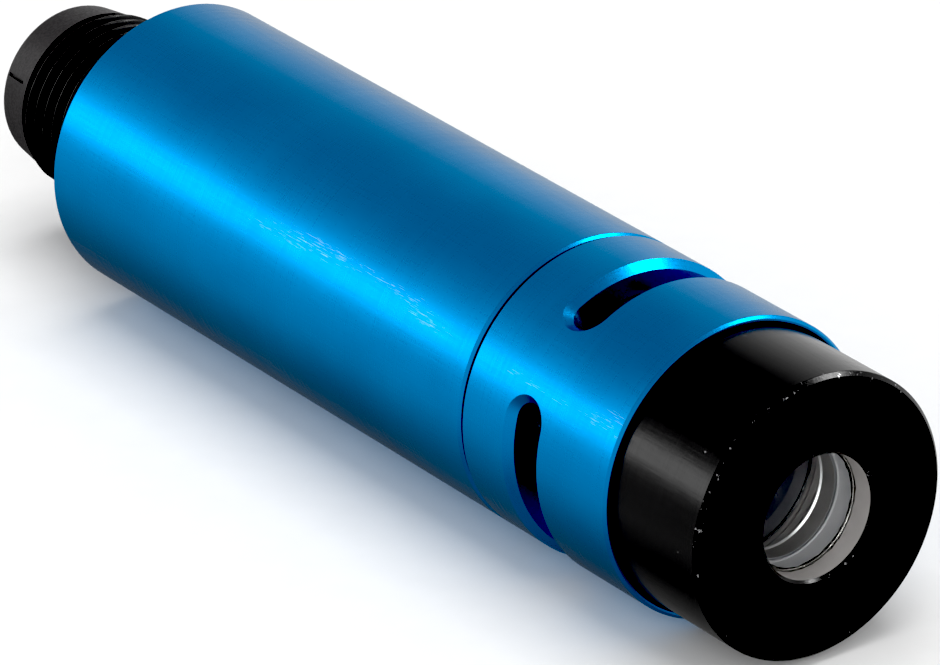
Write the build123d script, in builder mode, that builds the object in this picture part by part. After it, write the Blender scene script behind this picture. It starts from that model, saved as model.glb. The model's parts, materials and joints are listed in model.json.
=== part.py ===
from build123d import *
import os
from math import cos, radians, sin, sqrt

os.makedirs("parts", exist_ok=True)

# Collimated laser module, in mm. +X is the optical axis towards the beam exit and +Z is up.
# x = 0 is the rear shoulder face of the barrel. Angles round the axis start at -Y and rise over +Z.

# ---- outside
BARREL_R = 9.5
BARREL_LENGTH = 43.7
SEAM = 0.2
RING_FRONT = 58.0
NOSE_FRONT = 65.95
NOSE_R = 8.98
APERTURE_R = 3.92
EDGE_BREAK = 0.17
NOSE_CHAMFER = 0.25
APERTURE_CHAMFER = 0.18

# ---- fits, radial
RUNNING = 0.05
ASSEMBLY = 0.05
PRESSED = 0.01

# ---- spanner slots of the internal threaded rings
SPANNER_SLOT_WIDTH = 0.8
SPANNER_SLOT_DEPTH = 0.5

# ---- how far a cutting shape runs past the surface that it cuts
OVERSHOOT = 1.0

# ---- slots of the ring and the stop screw that travels in one of them
SLOT_COUNT = 3
SLOT_X = 49.7
SLOT_WIDTH = 2.4
SLOT_CHAMFER = 0.5
SLOT_HALF_ANGLE = 36.0
STOP_SLOT_ANGLE = 218.1
STOP_SCREW_R = 1.0
STOP_SCREW_SINK = 0.2
STOP_SCREW_FOOT_GAP = 0.2
STOP_SCREW_CHAMFER = 0.15
SOCKET_ACROSS_FLATS = 0.9
SOCKET_DEPTH = 1.0
TOMMY_HOLE_R = 0.75
TOMMY_HOLE_DEPTH = 1.2

# ---- barrel inside
BULKHEAD = 3.2
BORE_R = 7.6
FRONT_BORE_R = 8.5
MOUNT_SEAT_X = 31.2

# ---- M12 x 1 connector
THREAD_R = 6.0
THREAD_PITCH = 1.0
THREAD_DEPTH = 0.61
THREAD_TURNS = 9
CREST_FLAT = 0.125
ROOT_FLAT = 0.25
SHELL_END = -9.3
SHELL_NECK_R = 5.8
SHELL_NECK_REAR = 0.4
SHELL_FLANGE_R = 7.3
SHELL_FLANGE_X = 5.0
SHELL_BORE_R = 5.05
LIP_END = -12.3
LIP_R = 5.74
LIP_END_R = 5.35
LIP_ROUND = 0.45
CUP_R = 4.25
CUP_FLOOR_X = -3.7
KEY_ANGLE = 22.6
KEY_WIDTH = 1.2
KEY_HEIGHT = 0.8
KEY_SETBACK = 1.5
KEY_ROOT = 0.2
MARK_REAR = -11.8
MARK_WIDTH = 0.22
MARK_DEPTH = 0.22
MARK_LENGTH = 1.9
PIN_R = 0.5
PIN_CIRCLE_R = 2.5
PIN_TIP_X = -10.9
PIN_TAIL_X = 8.5
PIN_POINT = 0.22
SEAL_R = 6.72
SEAL_SECTION_R = 0.35
LOCK_RING_X = 7.0
LOCK_RING_BORE_R = 5.3

# ---- driver electronics
PIN_BOARD_X = 7.2
PIN_BOARD_R = 6.9
BOARD_THICKNESS = 1.0
BOARD_REAR = PIN_BOARD_X + BOARD_THICKNESS
BOARD_FRONT = 30.6
BOARD_SHOULDER = 8.95
BOARD_TAB_WIDTH = 2.2
LINER_REAR = 9.1
LINER_FRONT = 30.9
LINER_R = 7.15
CHIP_SIZE = (5.0, 4.0, 1.4)
CHIP_BEVEL = 0.3
CHIP_LEAD = (0.4, 0.9, 0.2)
CHIP_LEAD_PITCH = 1.27
CHIP_LEADS_A_SIDE = 4
REGULATOR_AT = (13.2, 2.6)
CONTROL_AT = (19.0, 0.0)
INDUCTOR_AT = (11.9, -3.2)
INDUCTOR_SIZE = (4.0, 4.0, 2.2)
INDUCTOR_ROUND = 0.6
CAPACITORS_AT = ((18.4, -4.0), (18.9, 3.2))
CAPACITOR_SIZE = (3.5, 2.8, 1.9)
RESISTOR_SIZE = (1.6, 0.8, 0.45)
RESISTORS_X = 24.5
RESISTORS_FIRST_Y = 1.8
RESISTORS_PITCH = 1.5
RESISTORS_A_SIDE = 3
TRIMMER_AT = (24.2, -3.4)
TRIMMER_SIZE = 3.6
TRIMMER_HEIGHT = 1.8
ROTOR_R = 1.1
ROTOR_HEIGHT = 0.55
ROTOR_SLOT = (1.6, 0.4, 0.3)

# ---- laser diode in its mount
MOUNT_FRONT = 38.7
MOUNT_R = FRONT_BORE_R - ASSEMBLY
DIODE_REAR = 35.0
STEM_R = 2.8
STEM_THICKNESS = 1.2
CAP_R = 1.78
CAP_RIM_R = 2.2
CAP_HEIGHT = 2.3
CAP_WALL = 0.25
CAP_CLEARANCE = 0.1
DIODE_APERTURE_R = 0.8
SUBMOUNT_SIZE = (1.1, 1.0, 0.7)
SUBMOUNT_DROP = 0.1
CRYSTAL_SIZE = (0.4, 0.3, 0.14)
CRYSTAL_SINK = 0.02
LEAD_R = 0.225
LEAD_REAR = 28.0
LEAD_Y = 0.69
CLAMP_R = 4.45
CLAMP_BORE_R = 1.9
CLAMP_REAR = 33.0

# ---- focusing lens
GUIDE_PIN_R = 0.6
GUIDE_PIN_CIRCLE_R = 6.2
GUIDE_PIN_REAR = 35.7
GUIDE_PIN_FRONT = 46.4
CELL_REAR = 43.4
CELL_FLANGE = 2.0
CELL_FLANGE_R = 7.3
CELL_R = 5.2
CELL_FRONT = 57.2
CELL_BORE_R = 3.4
LENS_SEAT_X = 51.8
LENS_R = 4.2
LENS_RIM = 1.4
LENS_CURVE_R = 7.95
LENS_DOME_R = 3.6
LENS_RETAINER_LENGTH = 1.8
SPRING_R = 4.3
SPRING_WIRE_R = 0.2
SPRING_TURNS = 5
SPRING_GAP = 0.05

# ---- ring bore, nose and window
RING_BORE_R = 7.65
RING_COUNTERBORE_R = 9.15
RING_COUNTERBORE_X = 54.5
NOSE_HEAD_REAR = 54.9
SLEEVE_REAR = 46.9
SLEEVE_BORE_R = CELL_R + RUNNING
DRAG_RING_X = 53.4
DRAG_RING_SECTION_R = 0.39
WINDOW_REAR = 61.4
WINDOW_FRONT = 64.2
WINDOW_R = 4.0
WINDOW_BEVEL = 0.12
RETAINER_REAR = 60.1
RETAINER_BORE_R = 3.75
RETAINER_BEVEL = 0.2
BORE_THREAD_REAR = 57.4
BORE_THREAD_PITCH = 0.5
BORE_THREAD_DEPTH = 0.28
BOND_WIDTH = 0.2


def radial(angle):
    """Unit vector out from the optical axis at an angle round it."""
    return (0, -cos(radians(angle)), sin(radians(angle)))


def radial_plane(x, angle):
    """Plane on the axis at x whose Z points out at the angle and whose X runs along the axis."""
    return Plane(origin=(x, 0, 0), x_dir=(1, 0, 0), z_dir=radial(angle))


def turn(*outline, mode=Mode.ADD):
    """Revolves a closed outline of (x, radius) corners about the optical axis."""
    with BuildSketch(Plane.XY) as section:
        with BuildLine():
            Polyline(*outline, close=True)
        make_face()
    revolve(section.sketch, axis=Axis.X, mode=mode)


def tube(x0, x1, outer, inner):
    """A plain turned tube between two places on the axis."""
    turn((x0, inner), (x0, outer), (x1, outer), (x1, inner))


def o_ring(x, ring_r, section_r):
    """A round-section ring about the optical axis."""
    with BuildSketch(Plane.XY) as section:
        with Locations((x, ring_r)):
            Circle(section_r)
    revolve(section.sketch, axis=Axis.X)


def bar(x0, x1, y, z, r):
    """A round bar parallel to the optical axis."""
    with BuildSketch(Plane.YZ.offset(x0)) as section:
        with Locations((y, z)):
            Circle(r)
    extrude(section.sketch, amount=x1 - x0)


def radial_hole(x, angle, r, r_from, r_to):
    """Bores a round hole towards the axis at an angle round it."""
    with Locations(radial_plane(x, angle).offset(r_from)):
        Cylinder(r, r_to - r_from, align=(Align.CENTER, Align.CENTER, Align.MIN), mode=Mode.SUBTRACT)


def spanner_slot(x, reach, width, depth):
    """A notch across the face of a threaded ring at x, cut towards +X, or towards -X at a negative depth."""
    with Locations((x + depth / 2, 0, 0)):
        Box(abs(depth), width, 2 * reach, mode=Mode.SUBTRACT)


def on_board(at, size, lift=0.0, below=False):
    """A box standing on the driver board, or hanging under it."""
    side = -1 if below else 1
    with Locations((at[0], at[1], side * (BOARD_THICKNESS / 2 + lift))):
        Box(*size, align=(Align.CENTER, Align.CENTER, Align.MAX if below else Align.MIN))


# ---- barrel: rear bulkhead, electronics bore, wider front bore for the diode mount and the ring
with BuildPart() as barrel:
    turn(
        (0, THREAD_R + ASSEMBLY),
        (0, BARREL_R - EDGE_BREAK),
        (EDGE_BREAK, BARREL_R),
        (BARREL_LENGTH - EDGE_BREAK, BARREL_R),
        (BARREL_LENGTH, BARREL_R - EDGE_BREAK),
        (BARREL_LENGTH, FRONT_BORE_R),
        (MOUNT_SEAT_X, FRONT_BORE_R),
        (MOUNT_SEAT_X, BORE_R),
        (BULKHEAD, BORE_R),
        (BULKHEAD, THREAD_R + ASSEMBLY),
    )

# ---- connector shell: each thread ridge is a ring with a flat crest
ridge_foot = (THREAD_PITCH - ROOT_FLAT) / 2
shell_outline = [(SHELL_END, SHELL_BORE_R), (SHELL_END, THREAD_R - THREAD_DEPTH)]
for ridge in range(THREAD_TURNS):
    crest_x = SHELL_END + THREAD_PITCH * (ridge + 0.5)
    shell_outline += [
        (crest_x - ridge_foot, THREAD_R - THREAD_DEPTH),
        (crest_x - CREST_FLAT / 2, THREAD_R),
        (crest_x + CREST_FLAT / 2, THREAD_R),
        (crest_x + ridge_foot, THREAD_R - THREAD_DEPTH),
    ]
shell_outline += [
    (SHELL_NECK_REAR, THREAD_R - THREAD_DEPTH),
    (SHELL_NECK_REAR, SHELL_NECK_R),
    (BULKHEAD, SHELL_NECK_R),
    (BULKHEAD, SHELL_FLANGE_R),
    (SHELL_FLANGE_X, SHELL_FLANGE_R),
    (SHELL_FLANGE_X, SHELL_BORE_R),
]
with BuildPart() as connector_shell:
    turn(*shell_outline)
    turn(
        (BULKHEAD, SEAL_R - SEAL_SECTION_R - ASSEMBLY),
        (BULKHEAD, SEAL_R + SEAL_SECTION_R + ASSEMBLY),
        (BULKHEAD + 2 * SEAL_SECTION_R, SEAL_R + SEAL_SECTION_R + ASSEMBLY),
        (BULKHEAD + 2 * SEAL_SECTION_R, SEAL_R - SEAL_SECTION_R - ASSEMBLY),
        mode=Mode.SUBTRACT,
    )

with BuildPart() as connector_seal:
    o_ring(BULKHEAD + SEAL_SECTION_R, SEAL_R, SEAL_SECTION_R)

with BuildPart() as connector_lock_ring:
    tube(SHELL_FLANGE_X, LOCK_RING_X, BORE_R - ASSEMBLY, LOCK_RING_BORE_R)
    spanner_slot(LOCK_RING_X, BORE_R, SPANNER_SLOT_WIDTH, -SPANNER_SLOT_DEPTH)

# ---- insulator: cup with a key rib inside, a mark outside over the key, and four pressed-in pins
pin_angles = [KEY_ANGLE + 45 + 90 * quarter for quarter in range(4)]
pin_places = [(PIN_CIRCLE_R * radial(a)[1], PIN_CIRCLE_R * radial(a)[2]) for a in pin_angles]
with BuildPart() as connector_insulator:
    turn(
        (LIP_END, CUP_R),
        (LIP_END, LIP_END_R),
        (SHELL_END, LIP_R),
        (SHELL_END, SHELL_BORE_R - ASSEMBLY),
        (SHELL_FLANGE_X, SHELL_BORE_R - ASSEMBLY),
        (SHELL_FLANGE_X, 0),
        (CUP_FLOOR_X, 0),
        (CUP_FLOOR_X, CUP_R),
    )
    end_rims = connector_insulator.edges().filter_by(GeomType.CIRCLE).sort_by(Axis.X)[0:2]
    fillet(end_rims.sort_by(SortBy.RADIUS)[-1], LIP_ROUND)
    with Locations(radial_plane(CUP_FLOOR_X, KEY_ANGLE).offset(CUP_R - KEY_HEIGHT)):
        Box(
            CUP_FLOOR_X - LIP_END - KEY_SETBACK, KEY_WIDTH, KEY_HEIGHT + KEY_ROOT,
            align=(Align.MAX, Align.CENTER, Align.MIN),
        )
    with Locations(radial_plane(MARK_REAR, KEY_ANGLE).offset(LIP_R - 2 * MARK_DEPTH)):
        Box(
            MARK_LENGTH, MARK_WIDTH, 2 * MARK_DEPTH,
            align=(Align.MIN, Align.CENTER, Align.MIN),
            mode=Mode.SUBTRACT,
        )
    with BuildSketch(Plane.YZ.offset(CUP_FLOOR_X)):
        with Locations(*pin_places):
            Circle(PIN_R)
    extrude(amount=SHELL_FLANGE_X - CUP_FLOOR_X, mode=Mode.SUBTRACT)

with BuildPart() as contact_pins:
    with BuildSketch(Plane.YZ.offset(PIN_TIP_X)):
        with Locations(*pin_places):
            Circle(PIN_R)
    extrude(amount=PIN_TAIL_X - PIN_TIP_X)
    chamfer(contact_pins.edges().filter_by(GeomType.CIRCLE).group_by(Axis.X)[0], PIN_POINT)

# ---- electronics
with BuildPart() as pin_board:
    with BuildSketch(Plane.YZ.offset(PIN_BOARD_X)):
        Circle(PIN_BOARD_R)
        with Locations(*pin_places):
            Circle(PIN_R + ASSEMBLY, mode=Mode.SUBTRACT)
    extrude(amount=BOARD_THICKNESS)

board_half_width = sqrt(LINER_R**2 - (BOARD_THICKNESS / 2) ** 2) - ASSEMBLY
with BuildPart() as driver_board:
    with BuildSketch(Plane.XY.offset(-BOARD_THICKNESS / 2)):
        with Locations((BOARD_REAR, 0)):
            Rectangle(BOARD_FRONT - BOARD_REAR, BOARD_TAB_WIDTH, align=(Align.MIN, Align.CENTER))
        with Locations((BOARD_SHOULDER, 0)):
            Rectangle(BOARD_FRONT - BOARD_SHOULDER, 2 * board_half_width, align=(Align.MIN, Align.CENTER))
    extrude(amount=BOARD_THICKNESS)

with BuildPart() as insulating_liner:
    tube(LINER_REAR, LINER_FRONT, BORE_R - ASSEMBLY, LINER_R)

with BuildPart() as regulator_chip:
    on_board(REGULATOR_AT, CHIP_SIZE, lift=CHIP_LEAD[2])
    chamfer(regulator_chip.edges().group_by(Axis.Z)[-1], CHIP_BEVEL)

with BuildPart() as control_chip:
    on_board(CONTROL_AT, CHIP_SIZE, lift=CHIP_LEAD[2], below=True)
    chamfer(control_chip.edges().group_by(Axis.Z)[0], CHIP_BEVEL)

with BuildPart() as chip_leads:
    for chip_at, below in ((REGULATOR_AT, False), (CONTROL_AT, True)):
        for row in (-1, 1):
            for lead in range(CHIP_LEADS_A_SIDE):
                lead_x = chip_at[0] + CHIP_LEAD_PITCH * (lead - (CHIP_LEADS_A_SIDE - 1) / 2)
                lead_y = chip_at[1] + row * CHIP_SIZE[1] / 2
                on_board((lead_x, lead_y), CHIP_LEAD, below=below)

with BuildPart() as power_inductor:
    on_board(INDUCTOR_AT, INDUCTOR_SIZE)
    fillet(power_inductor.edges().filter_by(Axis.Z), INDUCTOR_ROUND)

with BuildPart() as filter_capacitors:
    for place in CAPACITORS_AT:
        on_board(place, CAPACITOR_SIZE)

with BuildPart() as chip_resistors:
    for row in range(RESISTORS_A_SIDE):
        on_board((RESISTORS_X, RESISTORS_FIRST_Y + RESISTORS_PITCH * row), RESISTOR_SIZE)
        on_board((RESISTORS_X, -RESISTORS_FIRST_Y + RESISTORS_PITCH * row), RESISTOR_SIZE, below=True)

rotor_top = BOARD_THICKNESS / 2 + TRIMMER_HEIGHT
with BuildPart() as trimmer_body:
    on_board(TRIMMER_AT, (TRIMMER_SIZE, TRIMMER_SIZE, TRIMMER_HEIGHT))
    with Locations((*TRIMMER_AT, rotor_top)):
        Cylinder(
            ROTOR_R + RUNNING, ROTOR_HEIGHT + RUNNING,
            align=(Align.CENTER, Align.CENTER, Align.MAX),
            mode=Mode.SUBTRACT,
        )

with BuildPart() as trimmer_rotor:
    with Locations((*TRIMMER_AT, rotor_top)):
        Cylinder(ROTOR_R, ROTOR_HEIGHT, align=(Align.CENTER, Align.CENTER, Align.MAX))
        Box(*ROTOR_SLOT, align=(Align.CENTER, Align.CENTER, Align.MAX), mode=Mode.SUBTRACT)

# ---- laser diode, clamped from behind into a heat-sink mount
stem_front = DIODE_REAR + STEM_THICKNESS
cap_front = stem_front + CAP_HEIGHT
with BuildPart() as diode_mount:
    turn(
        (MOUNT_SEAT_X, CLAMP_R + ASSEMBLY),
        (MOUNT_SEAT_X, MOUNT_R),
        (MOUNT_FRONT, MOUNT_R),
        (MOUNT_FRONT, CAP_RIM_R + CAP_CLEARANCE),
        (stem_front, CAP_RIM_R + CAP_CLEARANCE),
        (stem_front, STEM_R + ASSEMBLY),
        (DIODE_REAR, STEM_R + ASSEMBLY),
        (DIODE_REAR, CLAMP_R + ASSEMBLY),
    )
    with BuildSketch(Plane.YZ.offset(GUIDE_PIN_REAR)):
        with Locations((0, GUIDE_PIN_CIRCLE_R), (0, -GUIDE_PIN_CIRCLE_R)):
            Circle(GUIDE_PIN_R + PRESSED)
    extrude(amount=MOUNT_FRONT - GUIDE_PIN_REAR, mode=Mode.SUBTRACT)

with BuildPart() as diode_stem:
    tube(DIODE_REAR, stem_front, STEM_R, 0)

with BuildPart() as diode_cap:
    turn(
        (stem_front, CAP_R - CAP_WALL),
        (stem_front, CAP_RIM_R),
        (stem_front + CAP_WALL, CAP_RIM_R),
        (stem_front + CAP_WALL, CAP_R),
        (cap_front, CAP_R),
        (cap_front, DIODE_APERTURE_R),
        (cap_front - CAP_WALL, DIODE_APERTURE_R),
        (cap_front - CAP_WALL, CAP_R - CAP_WALL),
    )

with BuildPart() as diode_window:
    tube(cap_front - 2 * CAP_WALL, cap_front - CAP_WALL, CAP_R - CAP_WALL - ASSEMBLY, 0)

with BuildPart() as laser_chip:
    with Locations((stem_front, 0, -SUBMOUNT_DROP)):
        Box(*SUBMOUNT_SIZE, align=(Align.MIN, Align.CENTER, Align.MAX))
    with Locations((stem_front + SUBMOUNT_SIZE[0], 0, -SUBMOUNT_DROP - CRYSTAL_SINK)):
        Box(*CRYSTAL_SIZE, align=(Align.MAX, Align.CENTER, Align.MIN))

lead_z = BOARD_THICKNESS / 2 + LEAD_R + PRESSED
with BuildPart() as diode_leads:
    for y, z in ((-LEAD_Y, lead_z), (LEAD_Y, lead_z), (LEAD_Y, -lead_z)):
        bar(LEAD_REAR, DIODE_REAR, y, z, LEAD_R)

with BuildPart() as diode_clamp_ring:
    tube(CLAMP_REAR, DIODE_REAR, CLAMP_R, CLAMP_BORE_R)
    spanner_slot(CLAMP_REAR, CLAMP_R, SPANNER_SLOT_WIDTH, SPANNER_SLOT_DEPTH)

# ---- lens cell: slides on two guide pins, driven by the thread inside the turning nose
with BuildPart() as guide_pins:
    for side in (-1, 1):
        bar(GUIDE_PIN_REAR, GUIDE_PIN_FRONT, 0, side * GUIDE_PIN_CIRCLE_R, GUIDE_PIN_R)

with BuildPart() as lens_cell:
    turn(
        (CELL_REAR, CELL_BORE_R),
        (CELL_REAR, CELL_FLANGE_R),
        (CELL_REAR + CELL_FLANGE, CELL_FLANGE_R),
        (CELL_REAR + CELL_FLANGE, CELL_R),
        (CELL_FRONT, CELL_R),
        (CELL_FRONT, LENS_R + ASSEMBLY),
        (LENS_SEAT_X, LENS_R + ASSEMBLY),
        (LENS_SEAT_X, CELL_BORE_R),
    )
    with BuildSketch(Plane.YZ.offset(CELL_REAR)):
        with Locations((0, GUIDE_PIN_CIRCLE_R), (0, -GUIDE_PIN_CIRCLE_R)):
            Circle(GUIDE_PIN_R + RUNNING)
    extrude(amount=CELL_FLANGE, mode=Mode.SUBTRACT)

dome_height = LENS_CURVE_R - sqrt(LENS_CURVE_R**2 - LENS_DOME_R**2)
rim_x = LENS_SEAT_X + LENS_RIM
dome_centre_x = rim_x + dome_height - LENS_CURVE_R
half_reach = LENS_DOME_R / 2
dome_middle = (dome_centre_x + sqrt(LENS_CURVE_R**2 - half_reach**2), half_reach)
with BuildPart() as collimating_lens:
    with BuildSketch(Plane.XY):
        with BuildLine():
            Polyline(
                (rim_x + dome_height, 0),
                (LENS_SEAT_X, 0),
                (LENS_SEAT_X, LENS_R),
                (rim_x, LENS_R),
                (rim_x, LENS_DOME_R),
            )
            ThreePointArc((rim_x, LENS_DOME_R), dome_middle, (rim_x + dome_height, 0))
        make_face()
    revolve(axis=Axis.X)

with BuildPart() as lens_retainer:
    tube(rim_x, rim_x + LENS_RETAINER_LENGTH, LENS_R, LENS_DOME_R)
    spanner_slot(rim_x + LENS_RETAINER_LENGTH, LENS_R, SPANNER_SLOT_WIDTH, -SPANNER_SLOT_DEPTH)

# ---- spring that takes up the play of the focusing thread
spring_rear = MOUNT_FRONT + SPRING_WIRE_R + SPRING_GAP
spring_length = CELL_REAR - SPRING_WIRE_R - SPRING_GAP - spring_rear
with BuildPart() as focus_spring:
    with BuildLine() as coil:
        Helix(
            pitch=spring_length / SPRING_TURNS,
            height=spring_length,
            radius=SPRING_R,
            center=(spring_rear, 0, 0),
            direction=(1, 0, 0),
        )
    with BuildSketch(Plane(origin=coil.line @ 0, z_dir=coil.line % 0)):
        Circle(SPRING_WIRE_R)
    sweep()

# ---- slotted ring: its spigot screws into the barrel and clamps the diode mount
ring_rear = BARREL_LENGTH + SEAM
half_width = SLOT_WIDTH / 2
slot_angles = [STOP_SLOT_ANGLE + 360 / SLOT_COUNT * k for k in range(SLOT_COUNT)]
with BuildPart() as slotted_ring:
    turn(
        (MOUNT_FRONT, RING_BORE_R),
        (MOUNT_FRONT, FRONT_BORE_R - ASSEMBLY),
        (ring_rear, FRONT_BORE_R - ASSEMBLY),
        (ring_rear, BARREL_R - EDGE_BREAK),
        (ring_rear + EDGE_BREAK, BARREL_R),
        (RING_FRONT - EDGE_BREAK, BARREL_R),
        (RING_FRONT, BARREL_R - EDGE_BREAK),
        (RING_FRONT, RING_COUNTERBORE_R),
        (RING_COUNTERBORE_X, RING_COUNTERBORE_R),
        (RING_COUNTERBORE_X, RING_BORE_R),
    )
    for slot_angle in slot_angles:
        first_side = slot_angle + SLOT_HALF_ANGLE
        across = Vector(1, 0, 0).cross(Vector(*radial(first_side)))
        with BuildSketch(Plane(origin=(SLOT_X, 0, 0), x_dir=(1, 0, 0), z_dir=across)):
            with BuildLine():
                Polyline(
                    (-half_width, RING_BORE_R - OVERSHOOT),
                    (half_width, RING_BORE_R - OVERSHOOT),
                    (half_width, BARREL_R - SLOT_CHAMFER),
                    (half_width + SLOT_CHAMFER + OVERSHOOT, BARREL_R + OVERSHOOT),
                    (-half_width - SLOT_CHAMFER - OVERSHOOT, BARREL_R + OVERSHOOT),
                    (-half_width, BARREL_R - SLOT_CHAMFER),
                    close=True,
                )
            make_face()
        revolve(axis=Axis.X, revolution_arc=2 * SLOT_HALF_ANGLE, mode=Mode.SUBTRACT)
        for end_angle in (slot_angle - SLOT_HALF_ANGLE, slot_angle + SLOT_HALF_ANGLE):
            radial_hole(SLOT_X, end_angle, half_width, RING_BORE_R - OVERSHOOT, BARREL_R)
            with Locations(radial_plane(SLOT_X, end_angle).offset(BARREL_R - SLOT_CHAMFER)):
                Cone(
                    half_width, half_width + SLOT_CHAMFER + OVERSHOOT, SLOT_CHAMFER + OVERSHOOT,
                    align=(Align.CENTER, Align.CENTER, Align.MIN),
                    mode=Mode.SUBTRACT,
                )

# ---- focus nose: head outside the ring, sleeve running inside it, thread and window seat within
nose_bore = [(SLEEVE_REAR, SLEEVE_BORE_R), (BORE_THREAD_REAR, SLEEVE_BORE_R)]
bore_threads = int((RETAINER_REAR - BORE_THREAD_REAR) / BORE_THREAD_PITCH)
for groove in range(bore_threads):
    groove_x = BORE_THREAD_REAR + BORE_THREAD_PITCH * groove
    nose_bore += [
        (groove_x + BORE_THREAD_PITCH / 2, SLEEVE_BORE_R + BORE_THREAD_DEPTH),
        (groove_x + BORE_THREAD_PITCH, SLEEVE_BORE_R),
    ]
nose_bore += [
    (WINDOW_REAR, SLEEVE_BORE_R),
    (WINDOW_REAR, WINDOW_R + ASSEMBLY),
    (WINDOW_FRONT, WINDOW_R + ASSEMBLY),
    (WINDOW_FRONT, APERTURE_R),
    (NOSE_FRONT - APERTURE_CHAMFER, APERTURE_R),
    (NOSE_FRONT, APERTURE_R + APERTURE_CHAMFER),
]
sleeve_r = RING_BORE_R - RUNNING
with BuildPart() as focus_nose:
    turn(
        *nose_bore,
        (NOSE_FRONT, NOSE_R - NOSE_CHAMFER),
        (NOSE_FRONT - NOSE_CHAMFER, NOSE_R),
        (NOSE_HEAD_REAR, NOSE_R),
        (NOSE_HEAD_REAR, sleeve_r),
        (SLEEVE_REAR, sleeve_r),
    )
    turn(
        (DRAG_RING_X - DRAG_RING_SECTION_R - ASSEMBLY, sleeve_r - 2 * DRAG_RING_SECTION_R),
        (DRAG_RING_X - DRAG_RING_SECTION_R - ASSEMBLY, sleeve_r + OVERSHOOT),
        (DRAG_RING_X + DRAG_RING_SECTION_R + ASSEMBLY, sleeve_r + OVERSHOOT),
        (DRAG_RING_X + DRAG_RING_SECTION_R + ASSEMBLY, sleeve_r - 2 * DRAG_RING_SECTION_R),
        mode=Mode.SUBTRACT,
    )
    radial_hole(SLOT_X, STOP_SLOT_ANGLE, STOP_SCREW_R + PRESSED, CELL_R - OVERSHOOT, sleeve_r + OVERSHOOT)
    for hole_angle in slot_angles[1:]:
        radial_hole(SLOT_X, hole_angle, TOMMY_HOLE_R, sleeve_r - TOMMY_HOLE_DEPTH, sleeve_r + OVERSHOOT)

with BuildPart() as focus_drag_ring:
    o_ring(DRAG_RING_X, sleeve_r + RUNNING - DRAG_RING_SECTION_R - PRESSED, DRAG_RING_SECTION_R)

screw_foot_r = SLEEVE_BORE_R + STOP_SCREW_FOOT_GAP
screw_top_r = BARREL_R - STOP_SCREW_SINK
with BuildPart() as stop_screw:
    with BuildSketch(radial_plane(SLOT_X, STOP_SLOT_ANGLE).offset(screw_foot_r)):
        Circle(STOP_SCREW_R)
    extrude(amount=screw_top_r - screw_foot_r)
    chamfer(stop_screw.edges().filter_by(GeomType.CIRCLE), STOP_SCREW_CHAMFER)
    with BuildSketch(radial_plane(SLOT_X, STOP_SLOT_ANGLE).offset(screw_top_r)):
        RegularPolygon(SOCKET_ACROSS_FLATS / 2, 6, major_radius=False)
    extrude(amount=-SOCKET_DEPTH, mode=Mode.SUBTRACT)

with BuildPart() as exit_window:
    tube(WINDOW_REAR, WINDOW_FRONT, WINDOW_R, 0)
    chamfer(exit_window.edges().filter_by(GeomType.CIRCLE), WINDOW_BEVEL)

with BuildPart() as window_bond:
    turn(
        (WINDOW_FRONT, APERTURE_R),
        (WINDOW_FRONT, APERTURE_R - BOND_WIDTH),
        (WINDOW_FRONT + BOND_WIDTH, APERTURE_R),
    )

with BuildPart() as window_retainer:
    turn(
        (RETAINER_REAR, RETAINER_BORE_R + RETAINER_BEVEL),
        (RETAINER_REAR, CELL_R),
        (WINDOW_REAR, CELL_R),
        (WINDOW_REAR, RETAINER_BORE_R),
        (RETAINER_REAR + RETAINER_BEVEL, RETAINER_BORE_R),
    )
    spanner_slot(RETAINER_REAR, CELL_R, SPANNER_SLOT_WIDTH, SPANNER_SLOT_DEPTH)

pieces = {
    "barrel": barrel,
    "connector_shell": connector_shell,
    "connector_seal": connector_seal,
    "connector_lock_ring": connector_lock_ring,
    "connector_insulator": connector_insulator,
    "contact_pins": contact_pins,
    "pin_board": pin_board,
    "driver_board": driver_board,
    "insulating_liner": insulating_liner,
    "regulator_chip": regulator_chip,
    "control_chip": control_chip,
    "chip_leads": chip_leads,
    "power_inductor": power_inductor,
    "filter_capacitors": filter_capacitors,
    "chip_resistors": chip_resistors,
    "trimmer_body": trimmer_body,
    "trimmer_rotor": trimmer_rotor,
    "diode_mount": diode_mount,
    "diode_stem": diode_stem,
    "diode_cap": diode_cap,
    "diode_window": diode_window,
    "laser_chip": laser_chip,
    "diode_leads": diode_leads,
    "diode_clamp_ring": diode_clamp_ring,
    "guide_pins": guide_pins,
    "lens_cell": lens_cell,
    "collimating_lens": collimating_lens,
    "lens_retainer": lens_retainer,
    "focus_spring": focus_spring,
    "slotted_ring": slotted_ring,
    "focus_nose": focus_nose,
    "focus_drag_ring": focus_drag_ring,
    "stop_screw": stop_screw,
    "exit_window": exit_window,
    "window_bond": window_bond,
    "window_retainer": window_retainer,
}
for name, piece in pieces.items():
    piece.part.label = name
    export_step(piece.part, f"parts/{name}.step")
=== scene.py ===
import json
import math

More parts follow.
